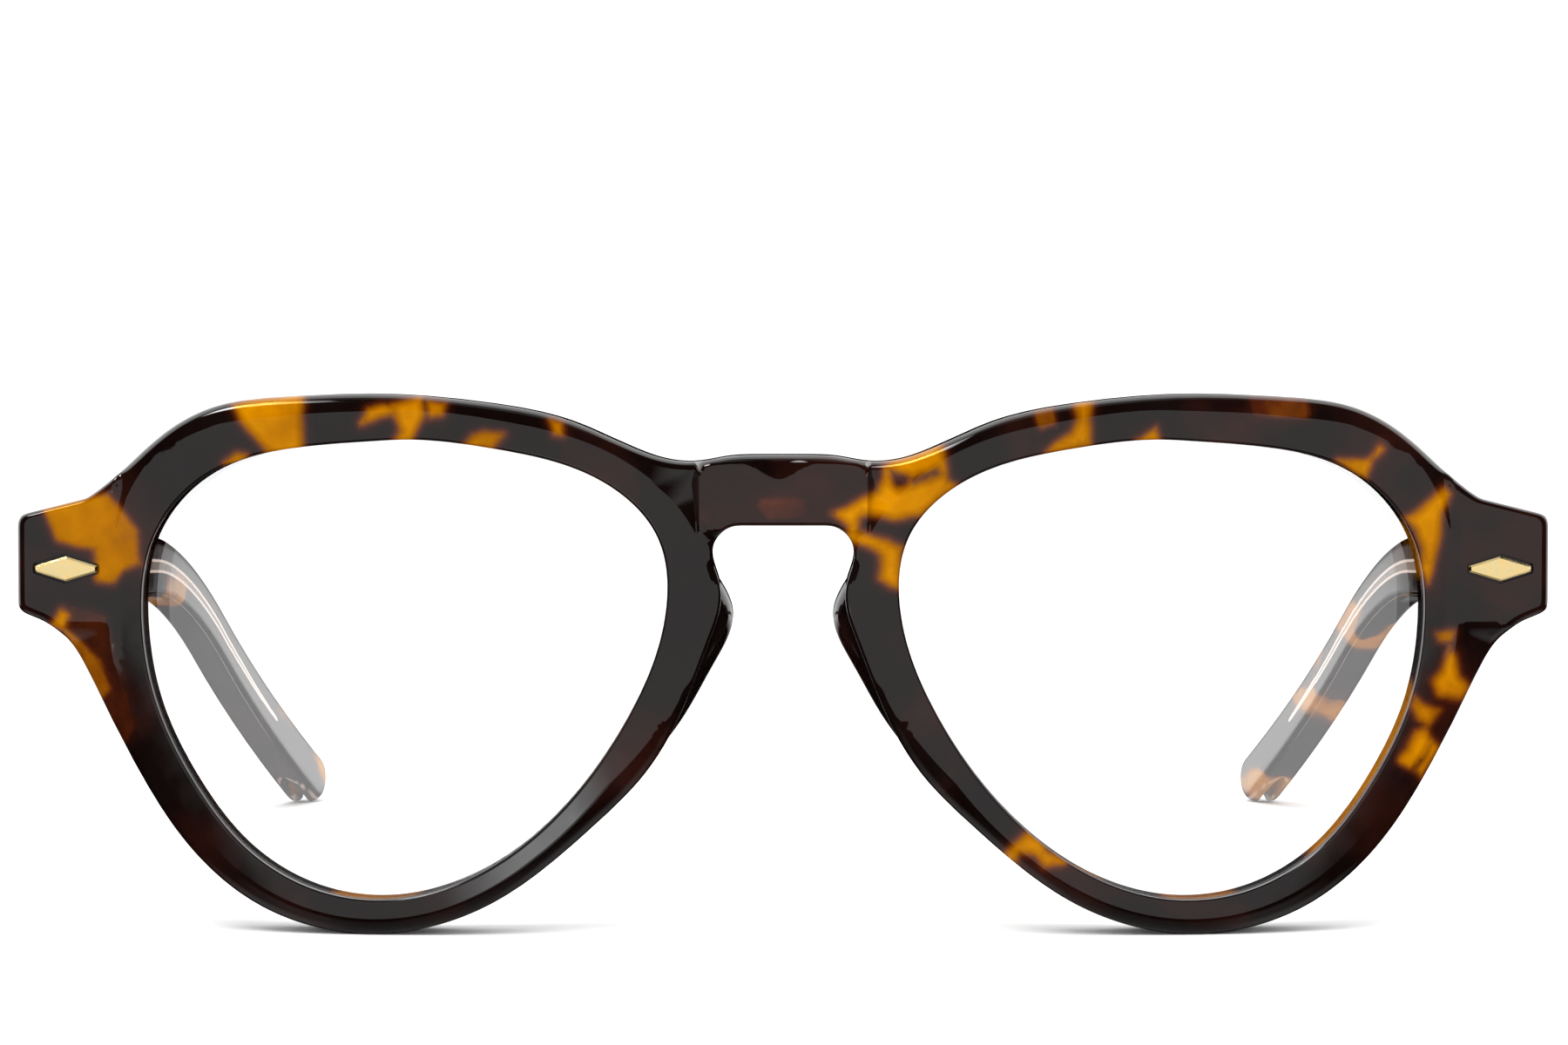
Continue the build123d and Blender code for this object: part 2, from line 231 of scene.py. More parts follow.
def slab(name, outer, holes, creases, spacing, low, high, place, wall, hole_wall=(), flare=None, sharp=38):
    """A closed piece with an outline drawn in a plane and two faces given by depth functions.

    outer and holes are loops; creases are further loops, or parts of them, that the mesh follows. low and
    high give the depth of each face at 2-D points; place turns 2-D points and depths into 3-D. wall and
    hole_wall are lists of (share of the way from low to high, outset) for the rings between the two faces,
    where an outset is a length or a function of the ring's points. flare moves the 2-D points of the high
    face.
    """
    made, triangles, new_index = flat_mesh(outer, holes, creases, spacing)
    low_depth, high_depth = low(made), high(made)
    verts = [place(made, low_depth), place(flare(made) if flare else made, high_depth)]
    count = len(made)
    faces = [tuple(t) for t in triangles] + [tuple(i + count for i in t[::-1]) for t in triangles]
    total = 2 * count
    start = 0
    for number, loop in enumerate([outer, *holes]):
        ids = [int(new_index[start + i]) for i in range(len(loop))]
        start += len(loop)
        ids = [i for k, i in enumerate(ids) if i != ids[k - 1]]
        ring = made[ids]
        out = outward(ring)
        rings = [ids]
        for share, outset in (wall if number == 0 else hole_wall):
            depth = low_depth[ids] * (1 - share) + high_depth[ids] * share
            shift = outset(ring)[:, None] if callable(outset) else outset
            verts.append(place(ring + out * shift, depth))
            rings.append(list(range(total, total + len(ids))))
            total += len(ids)
        rings.append([i + count for i in ids])
        for first, second in zip(rings, rings[1:]):
            for k in range(len(ids)):
                after = (k + 1) % len(ids)
                faces.append((first[k], first[after], second[after], second[k]))
    return mesh_piece(name, np.vstack(verts), faces, sharp)


def mesh_piece(name, verts, faces, sharp):
    """A smooth-shaded object, with sharp edges where faces meet at more than an angle in degrees."""
    data = bpy.data.meshes.new(name)
    data.from_pydata((np.array(verts) * MM).tolist(), [], [tuple(int(i) for i in f) for f in faces])
    mesh = bmesh.new()
    mesh.from_mesh(data)
    bmesh.ops.recalc_face_normals(mesh, faces=mesh.faces)
    mesh.to_mesh(data)
    mesh.free()
    data.polygons.foreach_set("use_smooth", [True] * len(data.polygons))
    data.set_sharp_from_angle(angle=math.radians(sharp))
    piece = bpy.data.objects.new(name, data)
    bpy.context.scene.collection.objects.link(piece)
    return piece


def places_of(piece):
    co = np.empty(len(piece.data.vertices) * 3)
    piece.data.vertices.foreach_get("co", co)
    return co.reshape(-1, 3) / MM


def paint(piece, name, values):
    """Store one number at each vertex, for the material to read."""
    attribute = piece.data.attributes.new(name, "FLOAT", "POINT")
    attribute.data.foreach_set("value", np.asarray(values, float))


# ---- amber patches in the acetate

# The painted field is a depth inside the patches in mm; the colour goes from dark to amber over a part of it.
FIELD_LOW = -4.0
FIELD_HIGH = 1.2
AMBER_START = -1.3
AMBER_FULL = 0.75

# Each patch is how far it goes towards amber, and its outline in x and z. A negative patch stays dark.
FRONT_PATCHES = [
    (0.27, [(-69.5, 31), (-66, 30), (-64.3, 24.5), (-63.2, 20), (-64.4, 18.2), (-66.6, 22), (-68.6, 27)]),
    (0.17, [(-7.6, 44.3), (-3.4, 43.8), (-0.4, 41.6), (3, 43.4), (5.6, 41.5), (4, 40.2), (-7, 40.2)]),
    (0.12, [(66, 41), (72, 39.6), (73, 34), (70, 32), (66.6, 36)]),
    (0.15, [(-20, 46.4), (-14.6, 43.2), (-14.8, 41.8), (-20.6, 45.2)]),
    (0.64, [(-71.3, 40.7), (-68, 41.5), (-65, 42.2), (-63.2, 40.2), (-62.1, 38.8), (-61.9, 35.6), (-63.6, 35),
            (-64.6, 33.7), (-66.1, 34), (-66.3, 37), (-70, 37.8), (-70.6, 39.3)]),
    (0.7, [(-70.5, 29.6), (-69.6, 30.9), (-69, 30.5), (-69.5, 29.2)]),
    (0.5, [(-69.2, 28.9), (-66.2, 26), (-65.2, 23.4), (-66.2, 22.4), (-68, 26)]),
    (1, [(-52.9, 50.9), (-49, 51.8), (-46.3, 52.2), (-46.1, 46.6), (-47.5, 45.8), (-49.4, 46.2),
         (-50.6, 47.8), (-52, 49.3)]),
    (0.7, [(-53.6, 45.3), (-52.4, 46.1), (-51.4, 46), (-51.8, 45)]),
    (0.9, [(-40.3, 49), (-39.5, 50.3), (-38.2, 50.7), (-36.9, 50.4), (-38.6, 49.9)]),
    (1, [(-37.3, 50.8), (-34.6, 51.6), (-34.2, 50), (-35, 48.6), (-35.6, 47.2), (-37, 47.4), (-36.2, 48.4),
         (-36.8, 49.9)]),
    (1, [(-33.9, 51.2), (-32.2, 51), (-32.4, 49.9), (-33.7, 49.7)]),
    (1, [(-30.6, 46.8), (-29.6, 48), (-28.5, 48.4), (-26.5, 48.2), (-27.8, 46.6)]),
    (0.9, [(-22.2, 49.5), (-21.1, 49.2), (-21, 48), (-21.8, 48.1)]),
    (0.35, [(-1.8, 41.4), (1.6, 41.5), (1.4, 40.6), (-1.2, 40.6)]),
    (1, [(9.6, 45), (12, 46.4), (15.1, 47.6), (15.6, 45), (15.7, 43.7), (16.4, 43.2), (14.8, 42), (13, 40.4),
         (10.6, 40.1), (9.4, 40.5), (7.4, 40.7), (6.9, 39.9), (7, 38.7), (8.6, 38.2), (9.8, 38), (11.3, 37.4),
         (11, 33.4), (10.2, 33.6), (9.3, 34.4), (9.3, 36.5), (8.6, 37.4), (7, 37.8), (6, 38), (6.3, 39.4),
         (5.6, 40), (4.6, 40.6), (6.2, 41.1), (7.6, 42), (9, 42.6), (9.5, 43.8)]),
    (-1, [(10.1, 44.8), (12.2, 44.1), (12, 43.3), (10.9, 42.8), (10.4, 43.4)]),
    (-0.6, [(12, 43.9), (14.7, 44.9), (14.9, 44.3), (12.4, 43.3)]),
    (0.45, [(24.2, 50.5), (25.4, 50.8), (25.6, 49.2), (24.6, 48.8)]),
    (1, [(27.6, 51.4), (29.5, 51.6), (29.2, 49.6), (29.5, 47), (27.6, 46.6), (25, 46.4), (25.9, 47.3),
         (27.4, 48.2), (28, 49.6)]),
    (1, [(33.7, 47.4), (35.6, 48.8), (35.8, 47.4)]),
    (0.35, [(45.2, 51.4), (49.6, 51.2), (49.8, 50.1), (45.4, 50.3)]),
    (1, [(53.2, 45.6), (56, 45.7), (57.3, 46.9), (57.6, 46.6), (56.7, 45.5), (56, 43.8), (55, 44.2)]),
    (1, [(59.9, 40), (61.6, 41), (62.9, 42.2), (63.7, 42.7), (64.2, 42.2), (63.4, 40.5), (63.4, 38.4),
         (63, 37), (62.5, 35), (62.1, 33.6), (61.5, 35), (61.5, 37), (60.8, 38.6)]),
    (0.6, [(63, 28.8), (64.6, 28.9), (64.4, 28), (63.3, 28)]),
    (1, [(64.2, 27.5), (64.9, 26.6), (65.4, 24.6), (66.7, 23.4), (65.6, 22.3), (63, 22.7), (62.3, 24.2),
         (63.4, 25.4), (63.9, 26.6)]),
    (1, [(60.8, 22.9), (61.8, 22), (63.4, 21.4), (62.2, 20), (61.2, 20.5), (60.6, 21.9)]),
    (1, [(60.2, 17.6), (61, 19.4), (62, 19.6), (62.5, 18.2), (61.6, 16.9), (60.4, 15.9), (59.4, 16.6)]),
    (0.9, [(62.6, 18.4), (63.5, 17.6), (61.6, 14.8), (61.1, 15.6), (61.9, 16.8)]),
    (1, [(20.7, 7.6), (22.2, 9.2), (23.4, 10.2), (24.6, 9.2), (25, 8.2), (26.8, 7.2), (24.9, 6.8),
         (24.2, 7.9), (22.6, 8.1), (22, 6.3), (21, 7)]),
]
# The same, for the walls round the lenses only: some carry on the tortoise patches, and the amber at the
# bottoms of both openings is a painted glow of light coming through the acetate.
WALL_PATCHES_AND_GLOW = [
    (1, [(-43.5, 5), (-35, 5), (-35, 2), (-43.5, 2)]),
    (1, [(36.5, 5), (43.5, 5), (43.5, 2), (36.5, 2)]),
    (0.95, [(50, 8), (54.6, 13), (57.6, 18), (59.2, 24), (63.2, 24), (61, 16), (58, 10), (52, 5.5)]),
    (0.8, [(28, 7.5), (31, 6.2), (30.5, 4.5), (27.5, 6)]),
    (0.9, [(60, 39.5), (62, 39), (62.6, 34), (61, 34)]),
]
# The same for the temples, in y and z.
TEMPLE_PATCHES = {
    "left": [
        (0.9, [(-49, 39), (-45, 40), (-43, 37), (-46, 36), (-50, 37)]),
        (0.7, [(-30, 30), (-24, 29.4), (-22, 31), (-26, 32.6)]),
        (0.9, [(-13, 37), (-5, 38), (-3, 35.8), (-9, 34.6)]),
        (0.75, [(6, 37), (15, 36), (20, 32.6), (14, 33), (9, 34.4)]),
        (0.85, [(22, 26.2), (27, 27), (34, 25), (33, 23.2), (27, 22.4)]),
        (0.8, [(36, 25), (42, 21), (46, 17.2), (40, 18.4)]),
        (0.85, [(37, 15.2), (43, 16.2), (51, 14.6), (49, 13), (43, 12.8)]),
        (0.8, [(61, 4), (64, 4.4), (69, 2.6), (68, 1), (63, 1)]),
    ],
    "right": [
        (0.85, [(-53, 34), (-49, 34.6), (-47, 33.4), (-50, 32.2)]),
        (0.9, [(-36, 39), (-29, 39.4), (-28, 37), (-33, 36)]),
        (0.7, [(-19, 29.6), (-12, 29.8), (-12, 31.4), (-17, 32)]),
        (0.8, [(3, 30), (9, 31), (14, 29.6), (12, 28.2), (5, 28.4)]),
        (0.75, [(16, 35), (28, 31.4), (28, 29), (22, 31)]),
        (0.85, [(53, 12.6), (60, 11.6), (61, 9), (56, 10.2)]),
        (0.9, [(64, 7), (69, 7), (69, 2), (67, 3)]),
    ],
}


def patch_field(points, patches):
    """How far each 2-D point lies inside a patch, in mm, held lower for the dimmer patches."""
    field = np.full(len(points), FIELD_LOW)
    for strength, corners in patches:
        outline = np.array(corners, float)
        gap = np.full(len(points), FAR_AWAY)
        for start, end in zip(outline, np.roll(outline, -1, 0)):
            along = end - start
            share = np.clip((points - start) @ along / (along @ along), 0, 1)
            gap = np.minimum(gap, np.linalg.norm(points - start - share[:, None] * along, axis=1))
        depth = np.where(inside(points, outline), gap, -gap)
        most = AMBER_START + (FIELD_HIGH - AMBER_START) * abs(strength)
        depth = np.minimum(depth, most)
        field = np.maximum(field, depth) if strength > 0 else np.minimum(field, -depth)
    return np.clip(field, FIELD_LOW, FIELD_HIGH)


# ---- the front

# Width of the flat band beside the lens, by the angle round the lens from its outer side upwards.
BAND = [
    (-180, 5.0), (-172, 4.2), (-160, 2.9), (-148, 2.0), (-125, 1.8), (-90, 2.0), (-60, 2.3), (-30, 2.5),
    (-5, 3.2), (20, 3.6), (38, 4.8), (50, 4.0), (62, 3.2), (90, 2.8), (120, 2.7), (150, 2.7), (160, 3.4),
    (166, 5.0), (180, 5.0),
]
# Beyond the band the face falls away in a facet, which fades out on the end pieces.
FACET_SLOPE = 0.46
FACET_MOST = 12.0
FACET_LEAST = 0.02
FACET_FADES_ACROSS = (60, 64.5)
FACET_FADES_UP = (23, 29.5)
# Rounded and bevelled edges, and how much of the face they take.
FACE_EDGE = 0.75
CLEAR_OF_EDGE = FACE_EDGE + 0.45
KEYHOLE_EDGE = 0.28
KEYHOLE_ACROSS = (9.5, 8.5)
KEYHOLE_TOP = (42, 41)
OPENING_EDGE = 0.22
BACK_EDGE = 0.9
BACK_OPENING_EDGE = 0.35
# The raised pad on the bridge: its walls, its foot, and its bevelled top with a notch and low corners.
PAD_HALF_WIDTH = 8.0
PAD_WALL = 0.25
PAD_FOOT = 37.6
PAD_FOOT_RAMP = 1.5
PAD_SIDE_LINES = [PAD_HALF_WIDTH + PAD_WALL * share for share in (-0.5, 0, 0.25, 0.5, 0.75, 1, 1.5)]
PAD_TOP = FRONT_HIGH[2] - 6.5
PAD_TOP_SLOPE = 0.42
PAD_TOP_DROP = 0.15
PAD_NOTCH_X = -0.4
PAD_NOTCH_HALF = 3.9
PAD_NOTCH_DEPTH = 1.65
PAD_CORNER = 1.4
PAD_CORNER_BEND = 0.6
# The small nick where each nose pad begins.
NICK_Z = 34.9
NICK_HALF = (1.15, 0.55)
NICK_ACROSS = (9, 8.4)
NICK_SLOPE = 0.55
# Lines that the mesh follows along the edges, and on both sides of the band's edge.
OUTER_LINES = [*insets(FACE_EDGE), FACE_EDGE + 0.06, FACE_EDGE + 0.25]
OPENING_LINES = [*insets(OPENING_EDGE, 5), OPENING_EDGE + 0.06, OPENING_EDGE + 0.23]
BAND_LINES = (-0.25, -0.05, 0.05, 0.25)
# The mesh: how far apart points stand on outlines and inside them, and how far outlines are softened.
FRONT_SPACING = 0.5
OUTLINE_STEP = 0.3
OUTER_SOFTENED = 0.6
OPENING_SOFTENED = 0.9
PLAQUE_STEP = 0.15
LINE_STEP = 0.25
# Reading the outlines: how near the bow a loop on the face lies, and where the bridge is softened.
ON_FACE = 0.3
EASED_ACROSS = (13, 9)
EASED_UP = (43, 44.5)
EASE_ROUNDS = 40
# Hollows for the plaques in the face, and for the hinges in the back.
POCKET_DEPTH = 0.5
POCKET_MARGIN = 0.25
BUTT_GAP = 0.15
HINGE_ROOM = 0.35
RECESS_HALF_WIDTH = 1.55
RECESS_DEPTH = 2.5
BACK_RAMP = (60, 64)
WALL_WIDTH = 0.04
# The openings widen towards the back, past a groove that holds the lens.
FLARE = 0.7
FLARE_REACH = 2.6
GROOVE_DEPTH = 0.95
GROOVE = [
    (0.17, 0), (0.33, 0), (0.333, GROOVE_DEPTH), (0.63, GROOVE_DEPTH), (0.633, 0), (0.8, FLARE * 0.45),
]
# How the patches lean with depth, and where the openings' walls begin to have patches of their own.
LEAN_START = 1.5
LEAN = 0.35
LEAN_TURN = (0.21, 0.34)
WALL_START = 0.6
WALL_REACH = 1.2


def bow(x, setback=0.0):
    return FACE_Y + FACE_RADIUS - np.sqrt((FACE_RADIUS - setback) ** 2 - x**2)


END_X = 69.2
END_SLOPE = 0.13
END_LEVEL = bow(END_X) - 0.42
END_RAMP = (64.2, 65.0)
END_RAMP_SPREAD = (-2.0, 2.6)
END_SPREADS_UP = (34.5, 39)


def end_piece_face(x):
    """The end piece is flat, and turned a little more to the front than the bow."""
    return END_LEVEL + END_SLOPE * (np.abs(x) - END_X)


def band_width(points):
    away = np.stack([np.abs(points[:, 0]), points[:, 1]], axis=1) - LENS_MIDDLE
    angle = np.degrees(np.arctan2(away[:, 1], away[:, 0]))
    return np.interp(angle, [a for a, _ in BAND], [w for _, w in BAND])


def seen_from_front(points, depth):
    return np.stack([points[:, 0], depth, points[:, 1]], axis=1)


def front_loops(node, way, on_face=False):
    """A node's edges seen from the front, or only those that lie on the bowed face of the front."""
    loops = boundary_loops(node, way)
    if on_face:
        loops = [loop for loop in loops if np.abs(loop[:, 1] - bow(loop[:, 0])).max() < ON_FACE]
    return [loop[:, [0, 2]] for loop in loops]


def ease_bridge(loop):
    """Soften the top of the bridge more than the rest of the outline."""
    share = smooth_step(*EASED_ACROSS, np.abs(loop[:, 0])) * smooth_step(*EASED_UP, loop[:, 1])
    for _ in range(EASE_ROUNDS):
        loop = loop + (softened(loop) - loop) * share[:, None]
    return loop


def lean(at):
    """How far the patches shift sideways with depth, so that they don't run straight through the acetate."""
    depth = np.clip(at[:, 1] - bow(at[:, 0]) - LEAN_START, 0, None) * LEAN
    turn = at[:, 0] * LEAN_TURN[0] + at[:, 2] * LEAN_TURN[1]
    return np.stack([np.cos(turn), np.sin(turn)], axis=1) * depth[:, None]


def hinge_recess(side):
    """The outline of the hollow that the hinge barrels stand in, at the back of an end piece."""
    low = box_mm(f"{side}_temple_hinge_leaf")[0][2] - HINGE_ROOM
    high = box_mm(f"{side}_hinge_screw")[1][2] + HINGE_ROOM
    inner, outer = HINGE[0] - RECESS_HALF_WIDTH, HINGE[0] + RECESS_HALF_WIDTH
    corners = np.array([(inner, low), (outer, low), (outer, high), (inner, high)])
    return evenly(corners * (SIDES[side], 1), LINE_STEP)


def in_hollows(points, hollows):
    """One inside any of some hollows, nought elsewhere. The wall stands between two crease lines."""
    return sum(inside(points, loop - outward(loop) * WALL_WIDTH / 2).astype(float) for loop in hollows)


def over_pad(points):
    """One on the bridge's raised pad, nought off it."""
    sides = smooth_step(PAD_HALF_WIDTH + PAD_WALL, PAD_HALF_WIDTH, np.abs(points[:, 0]))
    return sides * smooth_step(PAD_FOOT, PAD_FOOT + PAD_FOOT_RAMP, points[:, 1])


def bow_and_end(points):
    """The bow of the rims, which gives way to the flat end pieces over a ramp that widens upwards."""
    x, z = points[:, 0], points[:, 1]
    spread = smooth_step(*END_SPREADS_UP, z)
    inner, outer = [edge + more * spread for edge, more in zip(END_RAMP, END_RAMP_SPREAD)]
    end = smooth_step(inner, outer, np.abs(x))
    return bow(x) * (1 - end) + end_piece_face(x) * end


def facet(points, gap):
    """How far the face falls away beyond the band beside the lens."""
    fades_across = smooth_step(*FACET_FADES_ACROSS, np.abs(points[:, 0]))
    most = FACET_MOST * (1 - fades_across * smooth_step(*FACET_FADES_UP, points[:, 1]))
    beyond = np.clip(gap - band_width(points), 0, None) * FACET_SLOPE
    return most * (1 - np.exp(-beyond / np.maximum(most, FACET_LEAST)))


def pad_bevel(points):
    """The bevel along the top of the bridge's pad, deeper in the notch and at the corners."""
    x, z = points[:, 0], points[:, 1]
    notch = PAD_TOP_DROP + PAD_NOTCH_DEPTH * smooth_step(PAD_NOTCH_HALF, 0.0, np.abs(x - PAD_NOTCH_X))
    corner = np.clip(np.abs(x) - PAD_HALF_WIDTH + PAD_CORNER, 0, None) ** 2 * PAD_CORNER_BEND
    return np.clip(z - PAD_TOP + notch + corner, 0, None) * PAD_TOP_SLOPE


def nick(points, edge_gap):
    """The small bevel on the keyhole's edge where each nose pad begins."""
    place = smooth_step(*NICK_HALF, np.abs(points[:, 1] - NICK_Z))
    place = place * smooth_step(*NICK_ACROSS, np.abs(points[:, 0]))
    return np.clip(FACE_EDGE - edge_gap, 0, None) * NICK_SLOPE * place


def edge_radius(points):
    """The face's outer edge is rounded, but nearly sharp round the keyhole."""
    in_keyhole = smooth_step(*KEYHOLE_ACROSS, np.abs(points[:, 0])) * smooth_step(*KEYHOLE_TOP, points[:, 1])
    return FACE_EDGE * (1 - in_keyhole) + KEYHOLE_EDGE * in_keyhole


class FrontShape:
    """The front's outlines, and the depth of its face and back at 2-D points seen from the front."""

    def __init__(self):
        loops = front_loops("front_frame", (0, -1, 0), on_face=True)
        self.outer = ease_bridge(evenly(loops[0], OUTLINE_STEP, OUTER_SOFTENED))
        self.openings = [evenly(loop, OUTLINE_STEP, OPENING_SOFTENED) for loop in loops[1:3]]
        plaques = [evenly(front_loops(f"{side}_front_plaque", (0, -1, 0))[0], PLAQUE_STEP) for side in SIDES]
        self.pockets = [loop + outward(loop) * POCKET_MARGIN for loop in plaques]
        self.recesses = [hinge_recess(side) for side in SIDES]
        self.to_outer = distance_to([self.outer])
        self.to_opening = distance_to(self.openings)

    def clear_of_edge(self, line):
        return line[inside(line, self.outer) & (self.to_outer(line) > CLEAR_OF_EDGE)]

    def creases(self):
        """Lines for the mesh to follow: along the edges, the band, the hollows and the pad's sides."""
        creases = [self.outer - outward(self.outer) * inset for inset in OUTER_LINES]
        for opening in self.openings:
            away = outward(opening)
            creases += [opening + away * inset for inset in OPENING_LINES]
            width = band_width(opening)[:, None]
            creases += [self.clear_of_edge(opening + away * (width + extra)) for extra in BAND_LINES]
        for pocket in self.pockets:
            creases += [pocket + outward(pocket) * shift for shift in (WALL_WIDTH * 3, 0, -WALL_WIDTH)]
        for recess in self.recesses:
            creases += [recess, recess - outward(recess) * WALL_WIDTH]
        rise = np.arange(PAD_FOOT, PAD_TOP + 2, LINE_STEP)
        for x in PAD_SIDE_LINES:
            for sign in SIDES.values():
                line = np.stack([np.full(len(rise), sign * x), rise], axis=1)
                creases.append(self.clear_of_edge(line))
        return creases

    def face(self, points):
        gap = self.to_opening(points)
        edge_gap = self.to_outer(points)
        on_pad = over_pad(points)
        depth = bow_and_end(points)
        depth = depth + facet(points, gap) * (1 - on_pad) + pad_bevel(points) * on_pad
        depth = depth + nick(points, edge_gap)
        depth = depth + edge_round(edge_gap, edge_radius(points)) + edge_round(gap, OPENING_EDGE)
        return depth + POCKET_DEPTH * in_hollows(points, self.pockets)

    def back(self, points):
        rim = bow(points[:, 0], FRONT_DEPTH)
        end = HINGE[1] - BUTT_GAP
        ramp = smooth_step(*BACK_RAMP, np.abs(points[:, 0]))
        depth = np.minimum(rim * (1 - ramp) + end * ramp, end)
        depth = depth - edge_round(self.to_outer(points), BACK_EDGE)
        depth = depth - edge_round(self.to_opening(points), BACK_OPENING_EDGE)
        return depth - RECESS_DEPTH * in_hollows(points, self.recesses)

    def flare(self, points):
        """The back edges of the openings stand back from the lenses."""
        result = points.copy()
        gap = self.to_opening(points)
        for sign in SIDES.values():
            away = points - LENS_MIDDLE * (sign, 1)
            away /= np.linalg.norm(away, axis=1)[:, None]
            mine = (points[:, 0] * sign > 0) & (gap < FLARE_REACH)
            result[mine] += away[mine] * (FLARE * smooth_step(FLARE_REACH, 0, gap[mine]))[:, None]
        return result


def make_front():
    shape = FrontShape()
    wall = [(share, 0) for share in np.linspace(0.1, 0.9, 9)]
    front = slab("acetate_front", shape.outer, shape.openings, shape.creases(), FRONT_SPACING, shape.face,
                 shape.back, seen_from_front, wall, GROOVE, shape.flare)
    at = places_of(front)
    drawn = at[:, [0, 2]]
    field = patch_field(drawn + lean(at), FRONT_PATCHES)
    # The lens walls get amber of their own: partly tortoise patches, partly a painted glow at their bottoms.
    on_wall = (at[:, 1] > bow(at[:, 0]) + WALL_START) & (shape.to_opening(drawn) < WALL_REACH)
    field = np.where(on_wall, np.maximum(field, patch_field(drawn, WALL_PATCHES_AND_GLOW)), field)
    paint(front, "amber", field)
    return front


# ---- nose pads

# The pad's front and back, as far behind the bow of the face.
NOSE_PAD_START = 3.6
NOSE_PAD_END = 11.1
NOSE_PAD_FRONT_EDGE = 3.0
NOSE_PAD_BACK_EDGE = 1.6
NOSE_PAD_LINES = (0.15, 0.4, 0.7, 1.0)
NOSE_PAD_STEP = 0.25
NOSE_PAD_SOFTENED = 0.7
NOSE_PAD_SPACING = 0.4
NOSE_PAD_AMBER = -2.5


def make_pad(side):
    """A nose pad, rounded towards the nose and the back."""
    node = f"{side}_nose_pad"
    low, high = box_mm(node)
    outer = evenly(front_loops(node, (0, 1, 0))[0], NOSE_PAD_STEP, NOSE_PAD_SOFTENED)
    to_outer = distance_to([outer])
    creases = [outer - outward(outer) * inset for inset in NOSE_PAD_LINES]

    def front_face(points):
        face = np.maximum(bow(points[:, 0], NOSE_PAD_START), low[1])
        return face + edge_round(to_outer(points), NOSE_PAD_FRONT_EDGE)

    def back_face(points):
        back = np.minimum(bow(points[:, 0], NOSE_PAD_END), high[1])
        return back - edge_round(to_outer(points), NOSE_PAD_BACK_EDGE)

    wall = [(share, 0) for share in (0.25, 0.5, 0.75)]
    pad = slab(f"nose_pad_{side}", outer, [], creases, NOSE_PAD_SPACING, front_face, back_face,
               seen_from_front, wall)
    paint(pad, "amber", np.full(len(pad.data.vertices), NOSE_PAD_AMBER))
    return pad


# ---- temples

TEMPLE_EDGE = 1.25
TEMPLE_STEP = 0.4
TEMPLE_SOFTENED = 0.8
TEMPLE_SPACING = 0.7
ARM_LEAN = np.array((0.9, 0.4))
# The hollow for the hinge leaf.
LEAF_PLAY = 0.05
LEAF_POCKET_DEPTH = 1.02
LEAF_LINE_START = 0.1
# The scoop under the tip, and the painted highlight along its rim, which lies where the bowl has nearly run
# out.
SCOOP_LENGTH = 10.5
SCOOP_DEPTH = 1.7
SCOOP_HALF = 0.42
SCOOP_TURNS_UNDER = (-0.2, -0.7)
UNDERSIDE_RISE = 0.56
UNDERSIDE_REACH = 2.4
RIM_LEVEL = 0.06
RIM_SPREAD = 0.14
# The core wire as painted on the inner face: painted highlight lines along its two edges.
WIRE_HALF_HEIGHT = 0.8
WIRE_TAPER = 0.6
WIRE_STEP = 0.25
WIRE_POINTS = 150
WIRE_END_ROUND = 0.5
INNER_FACE_REACH = 0.6


def scoop_bowl(share, points, tip):
    """One in the middle of the scoop and nought at its edge; share is how far through the temple."""
    across = np.abs(share - 0.5) / SCOOP_HALF
    along = np.linalg.norm(points - tip, axis=1) / SCOOP_LENGTH
    return 1 - across**2 - along**4


def leaf_pocket(side, start, margin):
    """The edge of the hollow for the hinge leaf in y and z, open towards the temple's front end."""
    low, high = box_mm(f"{side}_temple_hinge_leaf")
    room = LEAF_PLAY + margin
    bottom, top, rear = low[2] - room, high[2] + room, high[1] + room
    level = np.arange(start, rear, OUTLINE_STEP)
    rise = np.linspace(bottom, top, 20)
    below = np.stack([level, np.full(len(level), bottom)], axis=1)
    end = np.stack([np.full(len(rise), rear), rise], axis=1)
    above = np.stack([level[::-1], np.full(len(level), top)], axis=1)
    return np.vstack([below, end, above])


def depth_of(loop):
    """A function that gives the x of a loop at a y."""
    order = np.argsort(loop[:, 1])
    return lambda y: np.interp(y, loop[order, 1], loop[order, 0])


def seen_from_side(points, depth):
    return np.stack([depth, points[:, 0], points[:, 1]], axis=1)


def scoop_outset(share, tip):
    """How far the wall stands back in the scoop, on a ring that lies a share of the way through."""
    def outset(ring):
        under = smooth_step(*SCOOP_TURNS_UNDER, outward(ring)[:, 1])
        bowl = np.clip(scoop_bowl(share, ring, tip), 0, 1)
        return -SCOOP_DEPTH * np.sqrt(bowl) * under

    return outset


